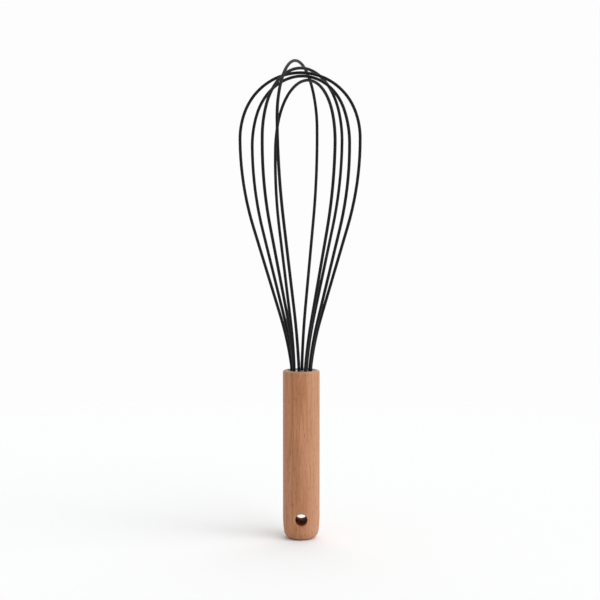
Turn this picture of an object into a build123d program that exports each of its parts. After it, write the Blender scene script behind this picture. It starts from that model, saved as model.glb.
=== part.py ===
from build123d import *

import os
from math import acos, atan2, cos, degrees, hypot, radians, sin, sqrt, tan

# Balloon whisk: five coated wire loops, nested through each other, cast into the drilled mouth of a
# turned beech handle. Millimetres and degrees. The origin is the centre of the foot, on the surface
# that the whisk stands on. +Z runs up the handle to the crown of the loops, and the hanging hole
# runs along Y.

# Handle
handle_dia = 23.0
handle_length = 105.6
rim_round = 1.4
butt_bend = 70.0  # slow curve that draws the butt in
butt_turn = 8.0
butt_corner = 5.0  # tighter curve from there to the flat foot
hang_dia = 7.5
hang_height = 13.4
hang_ease = 0.3

# Socket, bored from the rim, and the resin cast in it
socket_dia = 18.0
drill_point = 118.0
end_cover = 7.0  # straight-walled socket left below the wires' ends
glue_line = 0.05
resin_drop = 0.5  # level of the resin below the rim
meniscus_bend = 0.8
meniscus_turn = 50.0

# Coated wire
wire_dia = 1.9
coating_wall = 0.35
bare_depth = 19.0  # bare ends of the wires, below the rim
coated_depth = 8.0  # ends of the coating, below the rim

# Cage of loops, on the wires' centre lines
cage_height = 191.3  # rim to the highest crown
cage_width = 75.4
ring_dia = 12.2  # ring on which the wires leave the resin, upright
root_bend = 30.0
splay = 7.75  # slope that the root's bend gives them
flank_run = 58.5  # straight run between the neck's bend and the flank's
shoulder_bend = 57.0
shoulder_turn = 21.3

# One entry for each loop, from the lowest crown to the highest
loop_azimuths = [119.6, 147.8, -8.6, 51.2, 72.4]
loop_sways = [1.1, -0.45, -0.4, 0.85, -0.55]
crown_drop_shares = [6.3, 4.9, 3.8, 2.35, 0.0]  # of the wire's diameter, below the highest crown
width_shares = [0.983, 0.943, 0.996, 1.047, 1.075]
ring_shares = [1.15, 1.0, 0.995, 1.04, 0.525]
offset_shares = [-0.095, 0.018, 0.01, -0.065, -0.045]  # of the ring, loops' planes off the handle's axis
shoulder_shares = [0.85, 0.985, 0.82, 0.92, 0.59]

handle_radius = handle_dia / 2
socket_radius = socket_dia / 2
socket_depth = bare_depth + end_cover
drill_length = socket_radius / tan(radians(drill_point / 2))
wire_radius = wire_dia / 2
core_radius = wire_radius - coating_wall - glue_line


def loop_plane(loop):
    """Plane of a loop: x across it, y up, and its origin level with the rim, beside the handle's axis."""
    azimuth, sway = loop_azimuths[loop], loop_sways[loop]
    central = Plane(
        origin=(0, 0, handle_length),
        x_dir=Plane.XZ.x_dir.rotate(Axis.Z, azimuth).rotate(Axis.Y, sway),
        z_dir=Plane.XZ.z_dir.rotate(Axis.Z, azimuth).rotate(Axis.Y, sway),
    )
    return central.offset(ring_dia * offset_shares[loop])


def loop_path(loop, tail_depth):
    """Centre line of a loop: up one tail, over the crown and down the other."""
    ring_radius = ring_dia / 2 * ring_shares[loop]
    half_width = cage_width / 2 * width_shares[loop]
    crown_height = cage_height - wire_dia * crown_drop_shares[loop]
    shoulder = shoulder_bend * shoulder_shares[loop]
    lean = radians(shoulder_turn)
    crown = (half_width - shoulder * (1 - cos(lean))) / cos(lean)
    widest_height = crown_height - shoulder * sin(lean) - crown * (1 - sin(lean))

    # The neck and the flank bend alike, one out and one in, and the straight flank is the inner tangent
    # of their circles. So its length squared and the square of both radii added up make the square of
    # the distance between the circles' centres, which is a quadratic in the radius.
    slope = radians(splay)
    reach = half_width - ring_radius - root_bend * (1 - cos(slope))
    rise = widest_height - root_bend * sin(slope)
    square_term = 2 * (cos(slope) - 1)
    linear_term = 2 * (rise * sin(slope) - reach * (1 + cos(slope)))
    constant = reach**2 + rise**2 - flank_run**2
    bend = 2 * constant / (sqrt(linear_term**2 - 4 * square_term * constant) - linear_term)
    across = reach - bend * (1 + cos(slope))
    along = rise + bend * sin(slope)
    turn = degrees(acos(-2 * bend / hypot(across, along)) - atan2(along, across))

    # Each step is an arc and the straight run after it
    steps = [
        (root_bend, -splay, 0),
        (bend, splay - turn, flank_run),
        (bend, turn, 0),
        (shoulder, shoulder_turn, 0),
        (crown, 180 - 2 * shoulder_turn, 0),
        (shoulder, shoulder_turn, 0),
        (bend, turn, flank_run),
        (bend, splay - turn, 0),
        (root_bend, -splay, tail_depth),
    ]
    with BuildLine(loop_plane(loop)) as path:
        last = Line((ring_radius, -tail_depth), (ring_radius, 0))
        for radius, angle, run in steps:
            last = JernArc(last @ 1, last % 1, radius, angle)
            if run:
                last = PolarLine(last @ 1, run, direction=last % 1)
    return path.wire()


# Handle: turned, drawn in at the butt, bored from the rim and drilled for hanging
with BuildPart() as handle:
    with BuildSketch(Plane.XZ):
        with BuildLine():
            butt_lean = radians(butt_turn)
            foot_radius = handle_radius - butt_bend * (1 - cos(butt_lean)) - butt_corner * cos(butt_lean)
            foot = Line((0, 0), (foot_radius, 0))
            corner = JernArc(foot @ 1, foot % 1, butt_corner, 90 - butt_turn)
            butt = JernArc(corner @ 1, corner % 1, butt_bend, butt_turn)
            side = Line(butt @ 1, (handle_radius, handle_length - rim_round))
            rim_corner = JernArc(side @ 1, side % 1, rim_round, 90)
            rim = Line(rim_corner @ 1, (socket_radius, handle_length))
            wall = Line(rim @ 1, (socket_radius, handle_length - socket_depth))
            floor = Line(wall @ 1, (0, handle_length - socket_depth - drill_length))
            Line(floor @ 1, foot @ 0)
        make_face()
    revolve()
    with Locations(Plane(origin=(0, 0, hang_height), z_dir=Plane.XZ.z_dir)):
        Hole(hang_dia / 2)
    fillet(handle.edges(Select.NEW), hang_ease)
handle.part.label = "handle"

# Resin: fills the socket round the tails, and creeps up its wall in a meniscus
with BuildPart() as resin:
    with BuildSketch(Plane.XZ):
        with BuildLine():
            cast_radius = socket_radius - glue_line
            cast_top = handle_length - resin_drop
            cast_foot = handle_length - socket_depth + glue_line
            level_radius = cast_radius - meniscus_bend * sin(radians(meniscus_turn))
            level = Line((0, cast_top), (level_radius, cast_top))
            meniscus = JernArc(level @ 1, level % 1, meniscus_bend, meniscus_turn)
            cast_wall = Line(meniscus @ 1, (cast_radius, cast_foot))
            tip = Line(cast_wall @ 1, (0, cast_foot - drill_length))
            Line(tip @ 1, level @ 0)
        make_face()
    revolve()
    for loop in range(len(loop_azimuths)):
        path = loop_path(loop, bare_depth)
        for end, upward in ((path @ 0, path % 0), (path @ 1, -(path % 1))):
            with Locations(Plane(origin=end + upward * bare_depth, z_dir=upward)):
                CounterBoreHole(
                    core_radius + glue_line,
                    wire_radius + glue_line,
                    coated_depth + glue_line,
                    bare_depth + glue_line,
                )
resin.part.label = "resin_seat"

os.makedirs("parts", exist_ok=True)
export_step(handle.part, "parts/handle.step")
export_step(resin.part, "parts/resin_seat.step")

# Loops: a spring-steel core in a black coating, which stops short of the bare tails
for loop in range(len(loop_azimuths)):
    core_path = loop_path(loop, bare_depth)
    with BuildPart() as core:
        with BuildSketch(Plane(origin=core_path @ 0, z_dir=core_path % 0)):
            Circle(core_radius)
        sweep(path=core_path)
    core.part.label = f"loop_core_{loop + 1}"
    export_step(core.part, f"parts/{core.part.label}.step")

    coating_path = loop_path(loop, coated_depth)
    with BuildPart() as coating:
        with BuildSketch(Plane(origin=coating_path @ 0, z_dir=coating_path % 0)):
            Circle(wire_radius)
            Circle(core_radius + glue_line, mode=Mode.SUBTRACT)
        sweep(path=coating_path)
    coating.part.label = f"loop_coating_{loop + 1}"
    export_step(coating.part, f"parts/{coating.part.label}.step")
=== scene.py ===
from math import cos, pi, radians, sin

import bpy
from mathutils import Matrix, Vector


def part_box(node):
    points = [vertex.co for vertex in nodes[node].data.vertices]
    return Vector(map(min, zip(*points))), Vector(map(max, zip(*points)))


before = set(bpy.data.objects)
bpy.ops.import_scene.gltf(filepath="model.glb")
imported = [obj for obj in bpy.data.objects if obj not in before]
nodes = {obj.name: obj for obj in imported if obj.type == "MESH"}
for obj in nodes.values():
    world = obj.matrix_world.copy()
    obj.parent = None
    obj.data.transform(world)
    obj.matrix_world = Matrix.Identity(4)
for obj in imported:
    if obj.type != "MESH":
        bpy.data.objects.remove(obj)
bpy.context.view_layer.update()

# Balloon whisk, standing on the end of its handle, on a plain pale floor. Metres, in the part's
# frame: +Z runs up the handle and the camera looks along +Y. Inside the materials, lengths are
# millimetres.
mm_per_m = 1000.0

# Camera, at the photograph's place
camera_distance = 0.7679  # from the handle's axis
camera_side = -0.0008
camera_rise = 0.093  # above the handle's rim
camera_tilt = 2.958  # degrees down
lens_length = 74.21  # on the sensor's 36 mm
lens_shift = -0.0256

# Light. A white surface gets world_level from all round, and the level of each soft lamp that it
# faces. Azimuths run from the camera's side towards +X
background_level = 0.982
world_level = 0.52
lamps = {
    "key": {"level": 0.3, "azimuth": 48.0, "elevation": 52.0, "spread": 42.0},
    "side": {"level": 0.24, "azimuth": 78.0, "elevation": 20.0, "spread": 45.0},
    "back": {"level": 0.19, "azimuth": 170.0, "elevation": 58.0, "spread": 50.0},
}

# Floor
floor_lift = 1.008  # near the whisk, over the background's level
floor_red = 0.993
floor_blue = 1.002
floor_half = 3.0
fade_start = 0.3
fade_end = 0.7

noise_middle = 0.5  # average of a noise

# Sockets of the Mix node that take and give colours
mix_inputs = (0, 6, 7)
mix_output = 2

handle_low, handle_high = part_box("handle")
rim_height = handle_high.z


class Nodes:
    """Short ways to add and join the nodes of one material or world."""

    def __init__(self, tree):
        self.tree = tree
        tree.nodes.clear()

    def add(self, kind, inputs=(), **settings):
        """New node. Inputs are by name or number: a socket is linked, and a value is set."""
        node = self.tree.nodes.new(kind)
        for key, value in settings.items():
            setattr(node, key, value)
        for key, value in dict(inputs).items():
            self.plug(node.inputs[key], value)
        return node

    def plug(self, socket, value):
        """Links a socket to another, or sets its value."""
        if isinstance(value, bpy.types.NodeSocket):
            self.tree.links.new(value, socket)
        else:
            socket.default_value = value

    def math(self, operation, *values):
        """Result of a Math node."""
        node = self.add("ShaderNodeMath", operation=operation)
        for socket, value in zip(node.inputs, values):
            self.plug(socket, value)
        return node.outputs[0]

    def ramp(self, value, low, high, start=0.0, end=1.0):
        """Value mapped smoothly from low..high to start..end."""
        inputs = {
            "Value": value,
            "From Min": low,
            "From Max": high,
            "To Min": start,
            "To Max": end,
        }
        node = self.add("ShaderNodeMapRange", inputs, interpolation_type="SMOOTHSTEP")
        return node.outputs[0]

    def blend(self, factor, first, second):
        """Colour mixed from two."""
        node = self.add("ShaderNodeMix", data_type="RGBA")
        for number, value in zip(mix_inputs, (factor, first, second)):
            self.plug(node.inputs[number], value)
        return node.outputs[mix_output]

    def vector(self, x, y, z):
        """Vector of three values."""
        return self.add("ShaderNodeCombineXYZ", {"X": x, "Y": y, "Z": z}).outputs[0]

    def noise(self, place, detail=2.0):
        """Noise with features of about one unit of the place."""
        inputs = {"Vector": place, "Scale": 1.0, "Detail": detail}
        return self.add("ShaderNodeTexNoise", inputs).outputs[0]

    def multiplied(self, place, factors):
        """Place times a factor along each axis."""
        inputs = {0: place, 1: factors}
        return self.add("ShaderNodeVectorMath", inputs, operation="MULTIPLY").outputs[0]

    def scaled(self, place, x, y, z):
        """Place divided by a feature's size along each axis."""
        return self.multiplied(place, (1 / x, 1 / y, 1 / z))

    def millimetres(self):
        """Place on the object in the part's frame, in millimetres."""
        place = self.add("ShaderNodeTexCoord").outputs["Object"]
        return self.multiplied(place, (mm_per_m,) * 3)

    def seen(self):
        """One for rays that show the background: the camera's, and those off metal or in glass."""
        path = self.add("ShaderNodeLightPath").outputs
        mirrored = self.math("MAXIMUM", path["Is Glossy Ray"], path["Is Transmission Ray"])
        return self.math("MAXIMUM", path["Is Camera Ray"], mirrored)

    def bump(self, height, depth):
        """Normal of a surface with relief of that depth, in millimetres."""
        inputs = {"Height": height, "Distance": depth / mm_per_m}
        return self.add("ShaderNodeBump", inputs).outputs[0]


def new_material(name):
    """Empty node material and its helper."""
    material = bpy.data.materials.new(name)
    material.use_nodes = True
    return material, Nodes(material.node_tree)


def finish_material(nodes_of, **inputs):
    """Principled shader with those inputs, joined to the output."""
    named = {key.replace("_", " "): value for key, value in inputs.items()}
    shader = nodes_of.add("ShaderNodeBsdfPrincipled", named)
    nodes_of.add("ShaderNodeOutputMaterial", {"Surface": shader.outputs[0]})


def grey(level, red=1.0, blue=1.0):
    """Colour of a grey, a little towards red or blue."""
    return (level * red, level, level * blue, 1.0)


def beech():
    """Oiled beech: rings, fibre, ray flecks, a greyed rim, painted light on the side that faces
    the lamps, and a raw hanging hole darkened with painted shade.
    """
    light = (0.523, 0.236, 0.109, 1.0)
    middle = (0.419, 0.172, 0.072, 1.0)
    dark = (0.300, 0.107, 0.041, 1.0)
    pink = (0.492, 0.212, 0.116, 1.0)
    # The next colour is painted light and sheen, for the side that faces the lamps
    painted_lit_colour = (0.580, 0.300, 0.171, 1.0)
    fleck = (0.225, 0.068, 0.026, 1.0)
    # The next colour is raw wood darkened with painted shade, for inside the hanging hole
    raw_and_shaded = (0.300, 0.096, 0.040, 1.0)
    end_grain = (0.400, 0.285, 0.245, 1.0)
    # Share of its colour that each brings in where it is full
    pink_share = 0.8
    painted_light_share = 0.55
    late_wood_share = 0.42
    fibre_share = 0.35
    fleck_share = 0.55
    greyed_rim_share = 0.6
    # Rings about a pith outside the blank, wavering and unevenly wide
    pith_x, pith_y = 34.0, 62.0
    waver_sizes = (12.0, 12.0, 70.0)
    waver_depth = 5.0
    ring_pitch = 2.6
    uneven_size = 6.0
    uneven_rings = 2.0
    late_wood_power = 3.0
    # Sizes across the rings, round them and along the handle
    streak_sizes = (1.4, 1.1, 42.0)
    fibre_sizes = (0.3, 0.26, 9.0)
    # Sizes along the frame's axes
    fleck_sizes = (0.5, 0.5, 3.6)
    patch_sizes = (7.0, 7.0, 34.0)
    # Levels of the noise from which each begins and at which it is full
    streak_levels = (0.36, 0.64)
    patch_levels = (0.45, 0.72)
    fibre_levels = (0.5, 0.75)
    fleck_levels = (0.65, 0.78)
    gloss_levels = (0.25, 0.75)
    # Painted light: the +X side, which faces the lamps, is painted paler
    border_waver = 9.0
    border_start, border_end = -2.0, 9.0
    # Hanging hole, just wider than it is, and the handle's wall there
    hole_height = 13.4
    hole_radius = 3.78
    wall_half = 11.2
    # Rim
    end_depth = 1.1
    end_rise = 0.4
    end_waver = 0.8
    # Surface
    roughnesses = (0.44, 0.6)
    specular = 0.4
    fibre_relief = 0.7
    fleck_relief = -0.5
    relief_depth = 0.02

    material, n = new_material("oiled_beech")
    place = n.millimetres()
    axes = n.add("ShaderNodeSeparateXYZ", {0: place}).outputs
    waver = n.noise(n.scaled(place, *waver_sizes), detail=1.0)
    x = n.math("ADD", axes[0], pith_x)
    y = n.math("SUBTRACT", axes[1], pith_y)
    radius = n.math("SQRT", n.math("ADD", n.math("MULTIPLY", x, x), n.math("MULTIPLY", y, y)))
    radius = n.math("ADD", radius, n.math("MULTIPLY", waver, waver_depth))
    arc = n.math("MULTIPLY", n.math("ARCTAN2", y, x), radius)
    along = axes[2]

    def with_grain(sizes):
        """Place across the rings, round them and along the handle, divided by sizes."""
        return n.vector(*(n.math("DIVIDE", *pair) for pair in zip((radius, arc, along), sizes)))

    # Growth rings: each darkens towards its late wood
    uneven = n.noise(n.vector(0.0, 0.0, n.math("DIVIDE", radius, uneven_size)), detail=1.0)
    uneven = n.math("MULTIPLY", uneven, uneven_rings)
    rings = n.math("ADD", n.math("DIVIDE", radius, ring_pitch), uneven)
    late_wood = n.math("POWER", n.math("FRACT", rings), late_wood_power)
    # Fibre: broad streaks and a fine grain
    streak = n.noise(with_grain(streak_sizes))
    fibre = n.noise(with_grain(fibre_sizes), detail=3.0)
    # Rays, cut across by the turning and seen as short upright flecks
    fleck_here = n.ramp(n.noise(n.scaled(place, *fleck_sizes), detail=0.0), *fleck_levels)
    patch = n.noise(n.scaled(place, *patch_sizes), detail=1.0)
    # Painted light and sheen: the +X side, which faces the lamps, is painted paler and less
    # saturated, and shades into the rest over a wavering border
    wavering = n.math("MULTIPLY", n.math("SUBTRACT", streak, noise_middle), border_waver)
    border = n.math("ADD", axes[0], wavering)
    painted_light_side = n.ramp(border, border_start, border_end, 0.0, painted_light_share)
    # Inside the hanging hole: raw wood, darkened with painted shade of the hole
    drop = n.math("SUBTRACT", along, hole_height)
    squares = [n.math("MULTIPLY", value, value) for value in (axes[0], drop)]
    in_hole = n.math("LESS_THAN", n.math("SQRT", n.math("ADD", *squares)), hole_radius)
    in_wall = n.math("LESS_THAN", n.math("ABSOLUTE", axes[1]), wall_half)
    bored = n.math("MULTIPLY", in_hole, in_wall)

    colour = n.blend(n.ramp(streak, *streak_levels), middle, light)
    colour = n.blend(n.ramp(patch, *patch_levels, 0.0, pink_share), colour, pink)
    # Painted light on the side that faces the lamps
    colour = n.blend(painted_light_side, colour, painted_lit_colour)
    colour = n.blend(n.math("MULTIPLY", late_wood, late_wood_share), colour, dark)
    colour = n.blend(n.ramp(fibre, *fibre_levels, 0.0, fibre_share), colour, dark)
    colour = n.blend(n.math("MULTIPLY", fleck_here, fleck_share), colour, fleck)
    # Painted shade inside the hanging hole, over raw wood
    colour = n.blend(bored, colour, raw_and_shaded)
    # End grain at the rim, greyer towards the top edge
    rim = rim_height * mm_per_m
    uneven_height = n.math("ADD", along, n.math("MULTIPLY", streak, end_waver))
    greyed_rim = n.ramp(uneven_height, rim - end_depth, rim + end_rise, 0.0, greyed_rim_share)
    colour = n.blend(greyed_rim, colour, end_grain)

    fibre_height = n.math("MULTIPLY", fibre, fibre_relief)
    relief = n.math("ADD", fibre_height, n.math("MULTIPLY", fleck_here, fleck_relief))
    finish_material(
        n,
        Base_Color=colour,
        Roughness=n.math("MAXIMUM", n.ramp(fibre, *gloss_levels, *roughnesses), bored),
        Specular_IOR_Level=specular,
        Normal=n.bump(relief, relief_depth),
    )
    return material


def coating():
    """Black silicone coating: satin, with a faint grain and uneven gloss."""
    deep, pale, dusty = grey(0.006, 1.0, 1.3), grey(0.009, 1.0, 1.25), grey(0.013, 1.0, 1.15)
    dusty_share = 0.3
    grain_sizes = (0.16, 0.16, 0.16)
    drift_sizes = (2.2, 2.2, 6.0)
    grain_levels = (0.55, 0.8)
    drift_levels = (0.35, 0.65)
    gloss_levels = (0.3, 0.7)
    roughnesses = (0.36, 0.5)
    specular = 0.12
    relief_depth = 0.002

    material, n = new_material("black_silicone")
    place = n.millimetres()
    grain = n.noise(n.scaled(place, *grain_sizes), detail=3.0)
    drift = n.noise(n.scaled(place, *drift_sizes))
    colour = n.blend(n.ramp(drift, *drift_levels), deep, pale)
    colour = n.blend(n.ramp(grain, *grain_levels, 0.0, dusty_share), colour, dusty)
    finish_material(
        n,
        Base_Color=colour,
        Roughness=n.ramp(drift, *gloss_levels, *roughnesses),
        Specular_IOR_Level=specular,
        Normal=n.bump(grain, relief_depth),
    )
    return material


def resin():
    """Cast grey resin: glossy, slightly clouded, with a faint pull in its surface."""
    deep, pale, speck = grey(0.17, 1.04, 1.1), grey(0.25, 1.03, 1.08), grey(0.3)
    speck_share = 0.5
    cloud_sizes = (1.8, 1.8, 1.8)
    speck_sizes = (0.3, 0.3, 0.3)
    pull_sizes = (2.4, 2.4, 2.4)
    cloud_levels = (0.35, 0.65)
    speck_levels = (0.66, 0.72)
    gloss_levels = (0.3, 0.7)
    roughnesses = (0.24, 0.38)
    specular = 0.35
    relief_depth = 0.05

    material, n = new_material("grey_resin_cast")
    place = n.millimetres()
    cloud = n.noise(n.scaled(place, *cloud_sizes), detail=3.0)
    specks = n.ramp(n.noise(n.scaled(place, *speck_sizes), detail=1.0), *speck_levels)
    pull = n.noise(n.scaled(place, *pull_sizes), detail=1.0)
    colour = n.blend(n.ramp(cloud, *cloud_levels), deep, pale)
    colour = n.blend(n.math("MULTIPLY", specks, speck_share), colour, speck)
    finish_material(
        n,
        Base_Color=colour,
        Roughness=n.ramp(cloud, *gloss_levels, *roughnesses),
        Specular_IOR_Level=specular,
        Normal=n.bump(pull, relief_depth),
    )
    return material


def spring_steel():
    """Drawn steel wire, with die lines along it."""
    clean, stained = grey(0.36, 1.02, 1.0), grey(0.24, 1.05, 0.95)
    line_sizes = (0.05, 0.05, 4.0)
    stain_sizes = (1.0, 1.0, 3.0)
    stain_levels = (0.35, 0.7)
    gloss_levels = (0.3, 0.7)
    roughnesses = (0.24, 0.42)
    relief_depth = 0.004

    material, n = new_material("drawn_spring_steel")
    place = n.millimetres()
    lines = n.noise(n.scaled(place, *line_sizes))
    stain = n.noise(n.scaled(place, *stain_sizes))
    finish_material(
        n,
        Base_Color=n.blend(n.ramp(stain, *stain_levels), clean, stained),
        Metallic=1.0,
        Roughness=n.ramp(lines, *gloss_levels, *roughnesses),
        Normal=n.bump(lines, relief_depth),
    )
    return material


def floor_material():
    """Pale floor that fades far out, where it is seen, into the background of the same level."""
    material, n = new_material("pale_floor")
    place = n.add("ShaderNodeTexCoord").outputs["Object"]
    measure = n.add("ShaderNodeVectorMath", {0: place}, operation="LENGTH")
    distance = measure.outputs["Value"]
    fade = n.math("MULTIPLY", n.ramp(distance, fade_start, fade_end), n.seen())
    lamp_light = sum(lamp["level"] * sin(radians(lamp["elevation"])) for lamp in lamps.values())
    level = background_level / (world_level + lamp_light)
    colour = grey(level * floor_lift, floor_red, floor_blue)
    diffuse = n.add("ShaderNodeBsdfDiffuse", {"Color": colour})
    clear = n.add("ShaderNodeBsdfTransparent")
    shaders = {0: fade, 1: diffuse.outputs[0], 2: clear.outputs[0]}
    mixed = n.add("ShaderNodeMixShader", shaders)
    n.add("ShaderNodeOutputMaterial", {"Surface": mixed.outputs[0]})
    return material


def make_floor():
    """Square floor at the height of the foot."""
    signs = ((-1, -1), (1, -1), (1, 1), (-1, 1))
    corners = [(x * floor_half, y * floor_half, handle_low.z) for x, y in signs]
    mesh = bpy.data.meshes.new("floor")
    mesh.from_pydata(corners, [], [range(len(corners))])
    mesh.materials.append(floor_material())
    floor = bpy.data.objects.new("floor", mesh)
    bpy.context.scene.collection.objects.link(floor)


def make_world():
    """Plain studio: even light from all round, and a white background where it is seen."""
    world = bpy.data.worlds.new("studio")
    bpy.context.scene.world = world
    world.use_nodes = True
    n = Nodes(world.node_tree)
    light, shown = [
        n.add("ShaderNodeBackground", {"Color": grey(level), "Strength": 1.0}).outputs[0]
        for level in (world_level, background_level)
    ]
    mixed = n.add("ShaderNodeMixShader", {0: n.seen(), 1: light, 2: shown})
    n.add("ShaderNodeOutputWorld", {"Surface": mixed.outputs[0]})


def make_lamp(name, level, azimuth, elevation, spread):
    """Soft lamp, far off in one direction, that gives a white surface facing it that level."""
    turn, climb = radians(azimuth), radians(elevation)
    towards = Vector((sin(turn) * cos(climb), -cos(turn) * cos(climb), sin(climb)))
    lamp = bpy.data.lights.new(name, "SUN")
    lamp.energy = pi * level
    lamp.angle = radians(spread)
    light = bpy.data.objects.new(name, lamp)
    light.rotation_mode = "QUATERNION"
    light.rotation_quaternion = towards.to_track_quat("Z", "Y")
    light.location = towards
    bpy.context.scene.collection.objects.link(light)


def make_camera():
    """Camera at the photograph's place, tilted slightly down."""
    lens = bpy.data.cameras.new("camera")
    lens.lens = lens_length
    lens.shift_y = lens_shift
    camera = bpy.data.objects.new("camera", lens)
    camera.location = (camera_side, -camera_distance, rim_height + camera_rise)
    camera.rotation_euler = (radians(90 - camera_tilt), 0, 0)
    bpy.context.scene.collection.objects.link(camera)
    bpy.context.scene.camera = camera


def dress(prefix, material):
    """Gives a material to each CAD node whose name starts with the prefix."""
    for name, node in nodes.items():
        if name.startswith(prefix):
            for slot in node.material_slots:
                slot.material = material


dress("handle", beech())
dress("resin_seat", resin())
dress("loop_coating", coating())
dress("loop_core", spring_steel())
make_floor()
make_world()
for lamp_name, lamp_settings in lamps.items():
    make_lamp(lamp_name, **lamp_settings)
make_camera()
bpy.context.scene.view_settings.view_transform = "Standard"
